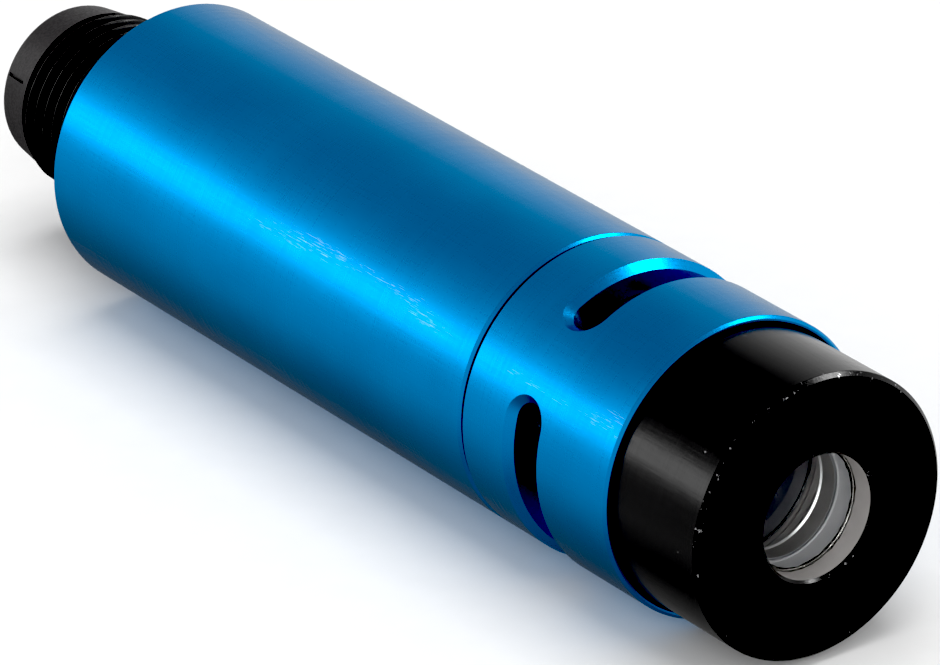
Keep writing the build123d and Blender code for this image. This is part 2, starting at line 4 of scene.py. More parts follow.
import bpy
import numpy as np
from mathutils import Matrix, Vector


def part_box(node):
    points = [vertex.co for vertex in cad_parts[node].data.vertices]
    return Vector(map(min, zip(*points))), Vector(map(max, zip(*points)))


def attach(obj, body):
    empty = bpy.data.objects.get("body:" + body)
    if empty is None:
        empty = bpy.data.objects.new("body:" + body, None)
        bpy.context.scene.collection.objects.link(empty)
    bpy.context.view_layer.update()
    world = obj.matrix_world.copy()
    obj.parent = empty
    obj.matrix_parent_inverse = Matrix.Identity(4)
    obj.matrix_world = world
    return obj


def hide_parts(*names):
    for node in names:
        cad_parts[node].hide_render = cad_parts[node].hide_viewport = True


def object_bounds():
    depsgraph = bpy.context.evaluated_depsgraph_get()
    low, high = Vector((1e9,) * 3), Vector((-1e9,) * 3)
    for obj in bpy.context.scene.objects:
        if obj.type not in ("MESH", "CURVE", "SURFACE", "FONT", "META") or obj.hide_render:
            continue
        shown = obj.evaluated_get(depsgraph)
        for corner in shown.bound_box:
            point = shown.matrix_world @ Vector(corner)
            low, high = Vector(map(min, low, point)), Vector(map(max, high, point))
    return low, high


# A collimated laser module lying on a pale floor. +X is the optical axis and +Z is up.
# Lengths are millimetres until a mesh, a light or the camera is made, which takes metres.
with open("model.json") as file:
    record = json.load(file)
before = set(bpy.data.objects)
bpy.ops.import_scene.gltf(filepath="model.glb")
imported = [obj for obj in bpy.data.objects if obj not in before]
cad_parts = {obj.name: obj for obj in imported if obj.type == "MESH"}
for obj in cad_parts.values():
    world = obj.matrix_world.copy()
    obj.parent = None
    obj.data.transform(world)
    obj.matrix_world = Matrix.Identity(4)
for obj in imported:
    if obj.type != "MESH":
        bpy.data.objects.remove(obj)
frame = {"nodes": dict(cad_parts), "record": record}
nodes = frame["nodes"]
cad_low, cad_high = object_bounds()
MM = 0.001


def reach(node):
    """Rear end, front end and largest radius of a CAD node that is turned about the optical axis."""
    low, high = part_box(node)
    return low.x / MM, high.x / MM, high.z / MM


# ---- places that the CAD gives
barrel_rear, barrel_front, barrel_r = reach("barrel")
spigot_rear, ring_front, ring_r = reach("slotted_ring")
sleeve_rear, nose_front, nose_r = reach("focus_nose")
shell_end, flange_front, flange_r = reach("connector_shell")
lip_end, insulator_front, lip_r = reach("connector_insulator")
window_rear, window_front, window_r = reach("exit_window")
retainer_rear, retainer_front, cell_r = reach("window_retainer")
mount_rear, mount_front, mount_r = reach("diode_mount")
liner_rear, liner_front, liner_r = reach("insulating_liner")
lock_rear, lock_front, lock_r = reach("connector_lock_ring")
drag_rear, drag_front, sleeve_r = reach("focus_drag_ring")
seal_rear, seal_front, seal_r = reach("connector_seal")
screw_low, screw_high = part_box("stop_screw")
stop_slot = (screw_low + screw_high) / 2 / MM

# ---- details of the outside
ASSEMBLY = 0.05
SEAM = 0.2
EDGE_BREAK = 0.17
EDGE_ROUND = 0.06
NOSE_CHAMFER = 0.25
APERTURE_R = 3.92
APERTURE_CHAMFER = 0.18
SLOT_COUNT = 3
SLOT_X = stop_slot.x
SLOT_ANGLE = math.degrees(math.atan2(stop_slot.z, -stop_slot.y))
SLOT_HALF_ANGLE = 36.0
SLOT_HALF_WIDTH = 1.2
SLOT_CHAMFER = 0.5
RING_BORE_R = 7.65
COUNTERBORE_R = 9.15
COUNTERBORE_X = 54.5
HEAD_REAR = 54.9
SCREW_HOLE_R = 1.01
TOMMY_HOLE_R = 0.75
TOMMY_HOLE_DEPTH = 1.2
SLEEVE_R = 7.6
DRAG_GROOVE_DEPTH = 0.78

# ---- painted highlight: whitish glint dashes painted into the blue along the near side, where the side light's highlight falls
GLINT_BAND_ANGLE = 31.0
GLINT_BAND_SPREAD = 2.5

# ---- threads
CONNECTOR_PITCH = 1.0
CONNECTOR_THREAD_R = 6.0
CONNECTOR_THREAD_DEPTH = 0.61
CONNECTOR_THREAD_TURNS = 9
SHELL_BORE_R = 5.05
SHELL_NECK_R = 5.8
SHELL_NECK_REAR = 0.4
BULKHEAD = 3.2
NOSE_BORE_R = 5.25
NOSE_THREAD_REAR = 57.4
NOSE_THREAD_PITCH = 0.5
NOSE_THREAD_DEPTH = 0.28

# ---- window, its adhesive bead and its retainer
WINDOW_BEVEL = 0.12
BEAD_WIDTH = 0.2
BEAD_WANDER = 0.45
RETAINER_BORE_R = 3.75
RETAINER_LIP = 0.1

# ---- mesh fineness
COLUMNS = 240
ROUND_STEPS = 5
END_STEPS = 16
CAP_STEPS = 8
ZONE_ROWS = 7
THREAD_ROWS_PER_PITCH = 20


def radial(angle):
    """Unit vector out from the optical axis: 0 degrees is -Y and 90 is +Z."""
    a = np.radians(angle)
    return np.stack([np.zeros_like(a), -np.cos(a), np.sin(a)], axis=-1)


AROUND = np.arange(COLUMNS) * 360 / COLUMNS + SLOT_ANGLE - 180 / SLOT_COUNT


def unit(v):
    """Vectors scaled to length one."""
    return v / np.maximum(np.linalg.norm(v, axis=-1, keepdims=True), 1e-12)


class Skin:
    """A closed mesh gathered from bands of quads, each with its own true surface normals."""

    def __init__(self):
        self.places, self.points = {}, []
        self.faces, self.normals, self.finishes = [], [], []

    def corner(self, point):
        key = tuple(round(c, 4) + 0.0 for c in point)
        if key not in self.places:
            self.places[key] = len(self.points)
            self.points.append(key)
        return self.places[key]

    def band(self, points, normals=None, finish=0):
        """Quads over a grid of points whose columns close on themselves."""
        if normals is None:
            along = np.gradient(points, axis=0, edge_order=2 if len(points) > 2 else 1)
            across = np.roll(points, -1, axis=1) - np.roll(points, 1, axis=1)
            normals = unit(np.cross(along, across))
        rows, columns = points.shape[:2]
        ids = [[self.corner(p) for p in row] for row in points]
        for i in range(rows - 1):
            for j in range(columns):
                k = (j + 1) % columns
                grid = [(i, j), (i + 1, j), (i + 1, k), (i, k)]
                vertices = [ids[g[0]][g[1]] for g in grid]
                kept = [g for n, g in enumerate(grid) if vertices[n] != vertices[n - 1]]
                if len(kept) > 2:
                    self.faces.append([ids[a][b] for a, b in kept])
                    self.normals += [normals[a, b] for a, b in kept]
                    self.finishes.append(finish)

    def turned(self, corners, finish=0, closed=True, angles=AROUND, at=(0.0, 0.0)):
        """Bands of an outline of (x, radius, rounding) corners turned about the optical axis."""
        for run in outline_runs(corners, closed):
            step = np.gradient(run, axis=0, edge_order=2 if len(run) > 2 else 1)
            slope = unit(np.stack([-step[:, 1], step[:, 0]], axis=-1))
            out = radial(angles)
            points = run[:, 1, None, None] * out + np.array([0.0, *at])
            points[..., 0] = run[:, 0, None]
            normals = slope[:, 1, None, None] * out
            normals[..., 0] = slope[:, 0, None]
            self.band(points, normals, finish)
        return self

    def piece(self, name, body, slot, finishes, stands_for):
        """Makes the Blender object and fastens it to its CAD body."""
        mesh = bpy.data.meshes.new(name)
        mesh.from_pydata([[c * MM for c in p] for p in self.points], [], self.faces)
        for finish in finishes:
            mesh.materials.append(finish)
        mesh.polygons.foreach_set("material_index", self.finishes)
        mesh.polygons.foreach_set("use_smooth", [True] * len(self.faces))
        mesh.update()
        mesh.normals_split_custom_set([tuple(n) for n in unit(np.array(self.normals))])
        made = bpy.data.objects.new(name, mesh)
        bpy.context.scene.collection.objects.link(made)
        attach(made, body)
        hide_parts(*stands_for)
        return made


def outline_runs(corners, closed):
    """Smooth runs of an outline: straight stretches, with an arc at each corner that has a rounding."""
    count = len(corners)
    runs, start = [], None
    stops = range(count + 1) if closed else range(count)
    for i in stops:
        x, r, rounding = corners[i % count]
        corner = np.array([x, r])
        if rounding and (closed or 0 < i < count - 1):
            back = unit(np.array(corners[i % count - 1][:2]) - corner)
            ahead = unit(np.array(corners[(i + 1) % count][:2]) - corner)
            half = math.acos(np.clip(back @ ahead, -1, 1)) / 2
            centre = corner + unit(back + ahead) * rounding / math.sin(half)
            first = corner + back * rounding / math.tan(half) - centre
            last = corner + ahead * rounding / math.tan(half) - centre
            sweep = math.pi - 2 * half
            turns = np.linspace(0, 1, ROUND_STEPS + 1)[:, None]
            arc = np.sin((1 - turns) * sweep) * first + np.sin(turns * sweep) * last
            arc = arc / math.sin(sweep) + centre
        else:
            arc = corner[None]
        if start is not None:
            runs.append(np.array([start, arc[0]]))
        if len(arc) > 1 and i < count:
            runs.append(arc)
        start = arc[-1]
    return runs


def rim(half_angle, half_width, r):
    """The edge of a slot, or of a round hole where half_angle is 0, as (x, angle) about its middle."""
    caps = CAP_STEPS if half_angle else COLUMNS // SLOT_COUNT // 2
    straight = COLUMNS // SLOT_COUNT - 2 * caps

    def cap(side, first, last, steps):
        t = np.radians(np.linspace(first, last, steps, endpoint=False))
        away = np.degrees(np.arcsin(half_width * np.sin(t) / r))
        return np.stack([half_width * np.cos(t), side * half_angle + away], axis=-1)

    def side(place, direction):
        t = np.linspace(-half_angle, half_angle, straight, endpoint=False) * direction
        return np.stack([np.full_like(t, place), t], axis=-1)

    front = [cap(-1, -45, 0, caps), side(half_width, 1), cap(1, 0, 45, caps)]
    rear = [cap(1, 135, 180, caps), side(-half_width, -1), cap(-1, 180, 225, caps)]
    return np.concatenate([*front, cap(1, 45, 135, END_STEPS), *rear, cap(-1, 225, 315, END_STEPS)])


def border(x_rear, x_front):
    """The edge of the part of a cylinder that one slot has to itself, with as many points as its rim."""
    span = 180 / SLOT_COUNT
    across = np.linspace(-span, span, COLUMNS // SLOT_COUNT, endpoint=False)
    down = np.linspace(x_front, x_rear, END_STEPS, endpoint=False)
    up = np.linspace(x_rear, x_front, END_STEPS, endpoint=False)
    sides = [
        np.stack([np.full_like(across, x_front), across], axis=-1),
        np.stack([down, np.full_like(down, span)], axis=-1),
        np.stack([np.full_like(across, x_rear), -across], axis=-1),
        np.stack([up, np.full_like(up, -span)], axis=-1),
    ]
    return np.concatenate(sides)


def wrapped(flat, r, x, angle):
    """(x, angle) points laid on a cylinder of radius r about the optical axis."""
    points = r * radial(flat[..., 1] + angle)
    points[..., 0] = flat[..., 0] + x
    return points


def cut_zone(skin, angle, x, limits, half_angle, levels, floor, finish=0):
    """One slot or hole and the cylinder round it. levels are (radius, half width) from the bottom up."""
    edge = border(limits[0] - x, limits[1] - x)
    shares = np.linspace(0, 1, ZONE_ROWS + 1)[:, None, None]
    top_r, top_width = levels[-1]
    flat = rim(half_angle, top_width, top_r) * (1 - shares) + edge * shares
    skin.band(wrapped(flat, top_r, x, angle), radial(flat[..., 1] + angle), finish)
    for low, high in zip(levels, levels[1:]):
        walls = [wrapped(rim(half_angle, width, r), r, x, angle) for r, width in (low, high)]
        skin.band(np.array(walls), None, finish)
    low_r, low_width = levels[0]
    lowest = rim(half_angle, low_width, low_r)
    if floor:
        outer = wrapped(lowest, low_r, x, angle)
        centre = np.broadcast_to(wrapped(np.zeros((1, 2)), low_r, x, angle), outer.shape)
        facing = np.broadcast_to(radial(np.array(angle)), (2, *outer.shape))
        skin.band(np.array([centre, outer]), facing, finish)
    else:
        flat = edge * (1 - shares) + lowest * shares
        skin.band(wrapped(flat, low_r, x, angle), -radial(flat[..., 1] + angle), finish)


def thread(skin, x_from, x_to, r_root, r_crest, pitch, shape, direction, finish=0):
    """A right-hand helical thread as one fine band. shape gives the height from 0 to 1 across a pitch."""
    rows = int(abs(x_to - x_from) / pitch * THREAD_ROWS_PER_PITCH) + 1
    x = np.linspace(x_from, x_to, rows)[:, None]
    phase = (x / pitch + direction * AROUND[None] / 360) % 1
    ends = np.minimum(abs(x - x_from), abs(x - x_to)) / (0.75 * pitch)
    height = shape(phase) * np.clip(ends, 0, 1)
    r = r_root + (r_crest - r_root) * height
    points = r[..., None] * radial(AROUND)[None]
    points[..., 0] = x
    skin.band(points, None, finish)


def sharp_ridge(phase):
    """A 60 degree ridge with a small flat crest and a wider flat root."""
    return np.clip((0.5 - abs(phase - 0.5) - 0.125) / 0.3125, 0, 1)


def v_groove(phase):
    """A sharp V across the whole pitch."""
    return 1 - 2 * abs(phase - 0.5)


# ---- finishes
class Finish:
    """A procedural material: its Principled surface and the nodes that feed it."""

    def __init__(self, name, **settings):
        self.material = bpy.data.materials.new(name)
        self.material.use_nodes = True
        self.tree = self.material.node_tree
        self.surface = self.tree.nodes["Principled BSDF"]
        for words, value in settings.items():
            self.surface.inputs[words.replace("_", " ").title().replace("Ior", "IOR")].default_value = value

    def add(self, kind, inputs, output=0, **settings):
        """Adds a node, sets or links its inputs, and returns one output."""
        node = self.tree.nodes.new("ShaderNode" + kind)
        for key, value in settings.items():
            setattr(node, key, value)
        for key, value in inputs.items():
            if isinstance(value, bpy.types.NodeSocket):
                self.tree.links.new(value, node.inputs[key])
            else:
                node.inputs[key].default_value = value
        return node.outputs[output]

    def place(self, along, across):
        """Object coordinates in features per millimetre, along the optical axis and across it."""
        here = self.add("TexCoord", {}, output="Object")
        scale = (along / MM, across / MM, across / MM)
        return self.add("VectorMath", {0: here, 1: scale}, operation="MULTIPLY")

    def noise(self, along, across, detail=2.0, roughness=0.5):
        return self.add(
            "TexNoise",
            {"Vector": self.place(along, across), "Scale": 1.0, "Detail": detail, "Roughness": roughness},
        )

    def fit(self, value, low, high, out_low, out_high):
        """A value moved smoothly from one range to another, and held inside it."""
        return self.add(
            "MapRange",
            {"Value": value, "From Min": low, "From Max": high, "To Min": out_low, "To Max": out_high},
            interpolation_type="SMOOTHSTEP",
        )

    def maths(self, operation, first, second=0.0):
        return self.add("Math", {0: first, 1: second}, operation=operation)

    def mix(self, share, first, second):
        """Between two colours."""
        return self.add(
            "Mix", {0: share, 6: (*first, 1) if isinstance(first, tuple) else first,
                    7: (*second, 1) if isinstance(second, tuple) else second},
            output=2, data_type="RGBA",
        )

    def feed(self, socket, value):
        self.tree.links.new(value, self.surface.inputs[socket])

    def relief(self, height, depth_mm, strength=1.0, under=None, socket="Normal"):
        """Bump of a given depth, on top of another where one is given."""
        inputs = {"Height": height, "Strength": strength, "Distance": depth_mm * MM}
        if under is not None:
            inputs["Normal"] = under
        bump = self.add("Bump", inputs)
        self.feed(socket, bump)
        return bump


def turned_metal(name, colour, roughness, line_depth, streak=0.0, **settings):
    """Lathe-turned metal: fine rings across the axis, faint hairs along it and a slow change of tone."""
    made = Finish(name, metallic=1.0, **settings)
    rings = made.noise(5.0, 0.03, detail=4.0, roughness=0.65)
    hairs = made.noise(0.35, 6.0, detail=3.0, roughness=0.6)
    cloud = made.noise(0.12, 0.2, detail=3.0)
    dark = tuple(c * 0.9 for c in colour)
    light = tuple(min(1.0, c * 1.08) for c in colour)
    made.feed("Base Color", made.mix(made.fit(cloud, 0.3, 0.7, 0.0, 1.0), dark, light))
    grain = made.maths("ADD", made.maths("MULTIPLY", rings, 0.6), made.maths("MULTIPLY", hairs, 0.4))
    made.feed("Roughness", made.fit(grain, 0.3, 0.7, roughness * 0.85, roughness * 1.18))
    bump = made.relief(rings, line_depth)
    if streak:
        made.relief(hairs, streak, under=bump)
    return made.material


def blue_anodised():
    """Bright-dipped blue anodising: dyed oxide over turned metal."""
    made = Finish("blue_anodised", metallic=1.0, specular_tint=(1.0, 0.8, 0.65, 1.0))
    rings = made.noise(6.0, 0.02, detail=2.0, roughness=0.6)
    hairs = made.noise(0.3, 5.0, detail=4.0, roughness=0.65)
    cloud = made.noise(0.1, 0.16, detail=4.0)
    tone = made.fit(cloud, 0.3, 0.7, 0.0, 1.0)
    dye = made.mix(tone, (0.002, 0.295, 0.68), (0.004, 0.33, 0.75))
    # Painted highlight: the base colour turns whitish in fine dashes inside a narrow strip on the near side,
    # where the side light's highlight lies. The dashes stand in for glints of that light.
    here = made.add("TexCoord", {}, output="Object")
    across = made.add("VectorMath", {0: here, 1: (0, 1, 1)}, operation="MULTIPLY")
    outward = made.add("VectorMath", {0: across}, operation="NORMALIZE")
    highlight_direction = tuple(float(c) for c in radial(GLINT_BAND_ANGLE))
    facing = made.add("VectorMath", {0: outward, 1: highlight_direction}, output="Value", operation="DOT_PRODUCT")
    glint_band_edge = math.cos(math.radians(2 * GLINT_BAND_SPREAD))
    glint_band_core = math.cos(math.radians(GLINT_BAND_SPREAD))
    painted_glint_band = made.fit(facing, glint_band_edge, glint_band_core, 0.0, 1.0)
    dashes = made.fit(made.noise(1.0, 30.0, detail=2.0), 0.56, 0.68, 0.0, 1.0)
    patches = made.fit(made.noise(0.1, 0.3, detail=1.0), 0.36, 0.56, 0.0, 0.6)
    along = made.add("SeparateXYZ", {0: here})
    forward = made.fit(along, barrel_front * MM * 0.35, barrel_front * MM * 0.6, 0.0, 1.0)
    lines = made.maths("MULTIPLY", dashes, patches)
    wear_and_painted_glints = made.maths("MULTIPLY", lines, made.maths("MULTIPLY", painted_glint_band, forward))
    # Painted highlight: the whitish glint colour is mixed into the blue dye through the dash mask.
    made.feed("Base Color", made.mix(wear_and_painted_glints, dye, (0.42, 0.6, 0.76)))
    grain = made.maths("ADD", made.maths("MULTIPLY", rings, 0.5), made.maths("MULTIPLY", hairs, 0.5))
    made.feed("Roughness", made.fit(grain, 0.3, 0.7, 0.25, 0.34))
    bump = made.relief(rings, 0.001)
    made.relief(hairs, 0.003, under=bump)
    return made.material


def black_anodised():
    """Black anodising over turned metal, rubbed through in nicks on the edges of the front face."""
    made = Finish("black_anodised", specular_ior_level=0.52)
    rings = made.noise(7.0, 0.02, detail=4.0, roughness=0.7)
    hairs = made.noise(0.3, 5.0, detail=4.0, roughness=0.65)
    grain = made.maths("ADD", made.maths("MULTIPLY", rings, 0.5), made.maths("MULTIPLY", hairs, 0.5))
    here = made.add("TexCoord", {}, output="Object")
    along = made.add("SeparateXYZ", {0: here})
    out = made.add("VectorMath", {0: made.add("VectorMath", {0: here, 1: (0, 1, 1)}, operation="MULTIPLY")},
                   output="Value", operation="LENGTH")
    behind = 1.5 * NOSE_CHAMFER
    lip_r = APERTURE_R + APERTURE_CHAMFER
    front = made.fit(along, (nose_front - behind) * MM, (nose_front - NOSE_CHAMFER) * MM, 0.0, 1.0)
    outer = made.fit(out, (nose_r - behind) * MM, (nose_r - NOSE_CHAMFER) * MM, 0.0, 1.0)
    inner = made.fit(out, lip_r * MM, (lip_r + APERTURE_CHAMFER) * MM, 1.0, 0.0)
    edges = made.maths("MULTIPLY", front, made.maths("MAXIMUM", outer, inner))
    nicks = made.fit(made.noise(2.6, 2.6, detail=5.0, roughness=0.7), 0.63, 0.67, 0.0, 1.0)
    specks = made.fit(made.noise(2.6, 2.6, detail=1.0), 0.81, 0.84, 0.0, 0.5)
    wear_and_painted_glints = made.maths("MAXIMUM", made.maths("MULTIPLY", edges, nicks), specks)
    black = made.mix(grain, (0.001, 0.001, 0.001), (0.003, 0.0027, 0.003))
    made.feed("Base Color", made.mix(wear_and_painted_glints, black, (0.55, 0.55, 0.56)))
    made.feed("Metallic", wear_and_painted_glints)
    made.feed("Roughness", made.fit(grain, 0.3, 0.7, 0.13, 0.27))
    bump = made.relief(rings, 0.002)
    made.relief(hairs, 0.005, under=bump)
    return made.material


def black_plated():
    made = Finish("black_metal_thread")
    grain = made.noise(3.0, 3.0, detail=3.0)
    made.feed("Base Color", made.mix(grain, (0.003, 0.003, 0.003), (0.008, 0.007, 0.007)))
    made.feed("Roughness", made.fit(grain, 0.3, 0.7, 0.26, 0.42))
    made.relief(grain, 0.004)
    return made.material


def moulded(name, dark, light, roughness, grain_depth, grain=6.0, **settings):
    """A moulded surface with a fine eggshell grain."""
    made = Finish(name, **settings)
    fine = made.noise(grain, grain, detail=4.0, roughness=0.6)
    broad = made.noise(0.5, 0.5, detail=2.0)
    made.feed("Base Color", made.mix(broad, dark, light))
    made.feed("Roughness", made.fit(fine, 0.3, 0.7, roughness - 0.07, roughness + 0.07))
    made.relief(fine, grain_depth)
    return made.material


def clear(name, tint, ior, roughness_low, roughness_high, grain, depth, coating=(1.0, 1.0, 1.0, 1.0)):
    made = Finish(name, transmission_weight=1.0, ior=ior, specular_tint=coating)
    fine = made.noise(grain, grain, detail=3.0)
    made.feed("Base Color", made.mix(fine, tint, tuple(min(1.0, c * 1.02) for c in tint)))
    made.feed("Roughness", made.fit(fine, 0.3, 0.7, roughness_low, roughness_high))
    made.relief(fine, depth)
    return made.material


finishes = {
    "blue_anodised": blue_anodised(),
    "black_anodised": black_anodised(),
    "black_metal_thread": black_plated(),
    "black_nylon": moulded("black_nylon", (0.011, 0.01, 0.0108), (0.018, 0.0158, 0.017), 0.5, 0.012),
    "black_rubber": moulded("black_rubber", (0.01, 0.01, 0.01), (0.018, 0.018, 0.018), 0.6, 0.006),
    "gold_plate": turned_metal("gold_plate", (0.83, 0.56, 0.2), 0.18, 0.001),
    "bare_aluminium": turned_metal("bare_aluminium", (0.76, 0.76, 0.77), 0.3, 0.003),
    "brass": turned_metal("brass", (0.72, 0.5, 0.22), 0.28, 0.003),
    "green_board": moulded(
        "green_board", (0.01, 0.13, 0.04), (0.016, 0.18, 0.06), 0.3, 0.004, coat_weight=0.4,
    ),
    "chip_plastic": moulded("chip_plastic", (0.02, 0.02, 0.021), (0.03, 0.03, 0.031), 0.55, 0.01),
    "ceramic": moulded("ceramic", (0.5, 0.38, 0.25), (0.62, 0.48, 0.34), 0.4, 0.004),
    "tinned_copper": turned_metal("tinned_copper", (0.75, 0.74, 0.71), 0.25, 0.002),
    "trimmer_blue": moulded("trimmer_blue", (0.03, 0.1, 0.35), (0.04, 0.13, 0.42), 0.35, 0.004),
    "polyimide": moulded("polyimide", (0.45, 0.2, 0.03), (0.55, 0.27, 0.05), 0.25, 0.003),
    "stainless_steel": turned_metal("stainless_steel", (0.6, 0.59, 0.58), 0.24, 0.002),
    "kovar_gold": turned_metal("kovar_gold", (0.8, 0.6, 0.3), 0.2, 0.001),
    "laser_crystal": turned_metal("laser_crystal", (0.3, 0.28, 0.27), 0.12, 0.001),
    "optical_glass": clear(
        "optical_glass", (0.97, 0.985, 0.98), 1.5, 0.0, 0.02, 1.5, 0.0002, coating=(0.2, 0.22, 0.3, 1.0),
    ),
    "clear_adhesive": clear("clear_adhesive", (0.93, 0.92, 0.88), 1.5, 0.02, 0.2, 4.0, 0.02),
}
ground_glass = moulded("ground_glass", (0.7, 0.7, 0.71), (0.85, 0.85, 0.87), 0.6, 0.01, grain=9.0)
bored_metal = moulded("bored_metal", (0.4, 0.385, 0.375), (0.52, 0.5, 0.49), 0.45, 0.004, metallic=0.3)

slot_of = {part["node"]: part["material_slot"] for part in frame["record"]["subparts"]}
for name, node in nodes.items():
    node.data.materials.clear()
    node.data.materials.append(finishes[slot_of[name]])
    node.data.shade_smooth()
    node.data.set_sharp_from_angle(angle=math.radians(32))


# ---- pieces
def make_barrel():
    bore = liner_r + ASSEMBLY
    front_bore = mount_r + ASSEMBLY
    connector_hole = CONNECTOR_THREAD_R + ASSEMBLY
    skin = Skin().turned([
        (barrel_rear, barrel_r - EDGE_BREAK, EDGE_ROUND),
        (barrel_rear + EDGE_BREAK, barrel_r, EDGE_ROUND),
        (barrel_front - EDGE_BREAK, barrel_r, EDGE_ROUND),
        (barrel_front, barrel_r - EDGE_BREAK, EDGE_ROUND),
        (barrel_front, front_bore, 0),
        (mount_rear, front_bore, 0),
        (mount_rear, bore, 0),
        (BULKHEAD, bore, 0),
        (BULKHEAD, connector_hole, 0),
        (barrel_rear, connector_hole, EDGE_ROUND),
    ])
    skin.piece("barrel_skin", "module", "blue_anodised", [finishes["blue_anodised"]], ["barrel"])


def make_ring():
    shoulder = barrel_front + SEAM
    zone = (SLOT_X - 3.0, SLOT_X + 3.0)
    skin = Skin()
    skin.turned([
        (zone[1], ring_r, 0),
        (ring_front - EDGE_BREAK, ring_r, EDGE_ROUND),
        (ring_front, ring_r - EDGE_BREAK, EDGE_ROUND),
        (ring_front, COUNTERBORE_R, EDGE_ROUND),
        (COUNTERBORE_X, COUNTERBORE_R, 0),
        (COUNTERBORE_X, RING_BORE_R, 0),
        (zone[1], RING_BORE_R, 0),
    ], closed=False)
    skin.turned([
        (zone[0], RING_BORE_R, 0),
        (spigot_rear, RING_BORE_R, 0),
        (spigot_rear, mount_r, 0),
        (shoulder, mount_r, 0),
        (shoulder, ring_r - EDGE_BREAK, EDGE_ROUND),
        (shoulder + EDGE_BREAK, ring_r, EDGE_ROUND),
        (zone[0], ring_r, 0),
    ], closed=False)
    levels = [
        (RING_BORE_R, SLOT_HALF_WIDTH),
        (ring_r - SLOT_CHAMFER, SLOT_HALF_WIDTH),
        (ring_r, SLOT_HALF_WIDTH + SLOT_CHAMFER),
    ]
    for k in range(SLOT_COUNT):
        angle = SLOT_ANGLE + 360 / SLOT_COUNT * k
        cut_zone(skin, angle, SLOT_X, zone, SLOT_HALF_ANGLE, levels, floor=False)
    skin.piece("slotted_ring_skin", "module", "blue_anodised", [finishes["blue_anodised"]], ["slotted_ring"])


def make_nose():
    zone = (SLOT_X - 1.6, SLOT_X + 1.6)
    groove_r = SLEEVE_R - DRAG_GROOVE_DEPTH
    seat_r = window_r + ASSEMBLY
    skin = Skin()
    skin.turned([
        (zone[1], SLEEVE_R, 0),
        (drag_rear - ASSEMBLY, SLEEVE_R, 0),
        (drag_rear - ASSEMBLY, groove_r, 0),
        (drag_front + ASSEMBLY, groove_r, 0),
        (drag_front + ASSEMBLY, SLEEVE_R, 0),
        (HEAD_REAR, SLEEVE_R, 0),
        (HEAD_REAR, nose_r, EDGE_ROUND),
        (nose_front - NOSE_CHAMFER, nose_r, EDGE_ROUND),
        (nose_front, nose_r - NOSE_CHAMFER, EDGE_ROUND),
        (nose_front, APERTURE_R + APERTURE_CHAMFER, EDGE_ROUND),
        (nose_front - APERTURE_CHAMFER, APERTURE_R, 0),
    ], closed=False)
    aperture_wall = [(nose_front - APERTURE_CHAMFER, APERTURE_R, 0), (window_front, APERTURE_R, 0)]
    skin.turned(aperture_wall, 1, closed=False)
    skin.turned([
        (window_front, APERTURE_R, 0),
        (window_front, seat_r, 0),
        (window_rear, seat_r, 0),
        (window_rear, NOSE_BORE_R, 0),
        (retainer_rear, NOSE_BORE_R, 0),
    ], 1, closed=False)
    thread(
        skin, retainer_rear, NOSE_THREAD_REAR, NOSE_BORE_R, NOSE_BORE_R + NOSE_THREAD_DEPTH,
        NOSE_THREAD_PITCH, v_groove, -1, 1,
    )
    skin.turned([(NOSE_THREAD_REAR, NOSE_BORE_R, 0), (zone[1], NOSE_BORE_R, 0)], closed=False)
    skin.turned([
        (zone[0], NOSE_BORE_R, 0),
        (sleeve_rear, NOSE_BORE_R, 0),
        (sleeve_rear, SLEEVE_R, 0),
        (zone[0], SLEEVE_R, 0),
    ], closed=False)
    hole = [(NOSE_BORE_R, SCREW_HOLE_R), (SLEEVE_R, SCREW_HOLE_R)]
    cut_zone(skin, SLOT_ANGLE, SLOT_X, zone, 0, hole, floor=False)
    pocket = [(SLEEVE_R - TOMMY_HOLE_DEPTH, TOMMY_HOLE_R), (SLEEVE_R, TOMMY_HOLE_R)]
    for k in range(1, SLOT_COUNT):
        angle = SLOT_ANGLE + 360 / SLOT_COUNT * k
        cut_zone(skin, angle, SLOT_X, zone, 0, pocket, floor=True)
        plain_bore = border(zone[0] - SLOT_X, zone[1] - SLOT_X)
        middle = np.zeros_like(plain_bore)
        flat = np.array([plain_bore, middle])
        skin.band(wrapped(flat, NOSE_BORE_R, SLOT_X, angle), -radial(flat[..., 1] + angle))
    skin.piece(
        "focus_nose_skin", "nose", "black_anodised",
        [finishes["black_anodised"], bored_metal], ["focus_nose"],
    )


def make_shell():
    skin = Skin()
    root = CONNECTOR_THREAD_R - CONNECTOR_THREAD_DEPTH
    thread_front = shell_end + CONNECTOR_THREAD_TURNS * CONNECTOR_PITCH
    groove_low = seal_r - (seal_front - seal_rear) - ASSEMBLY
    skin.turned([
        (thread_front, root, 0),
        (SHELL_NECK_REAR, root, 0),
        (SHELL_NECK_REAR, SHELL_NECK_R, 0),
        (BULKHEAD, SHELL_NECK_R, 0),
        (BULKHEAD, groove_low, 0),
        (seal_front, groove_low, 0),
        (seal_front, seal_r + ASSEMBLY, 0),
        (BULKHEAD, seal_r + ASSEMBLY, 0),
        (BULKHEAD, flange_r, 0),
        (flange_front, flange_r, 0),
        (flange_front, SHELL_BORE_R, 0),
        (shell_end, SHELL_BORE_R, 0),
        (shell_end, root, 0),
    ], closed=False)
    thread(skin, shell_end, thread_front, root, CONNECTOR_THREAD_R, CONNECTOR_PITCH, sharp_ridge, -1)
    skin.piece(
        "connector_shell_skin", "module", "black_metal_thread", [finishes["black_metal_thread"]],
        ["connector_shell"],
    )


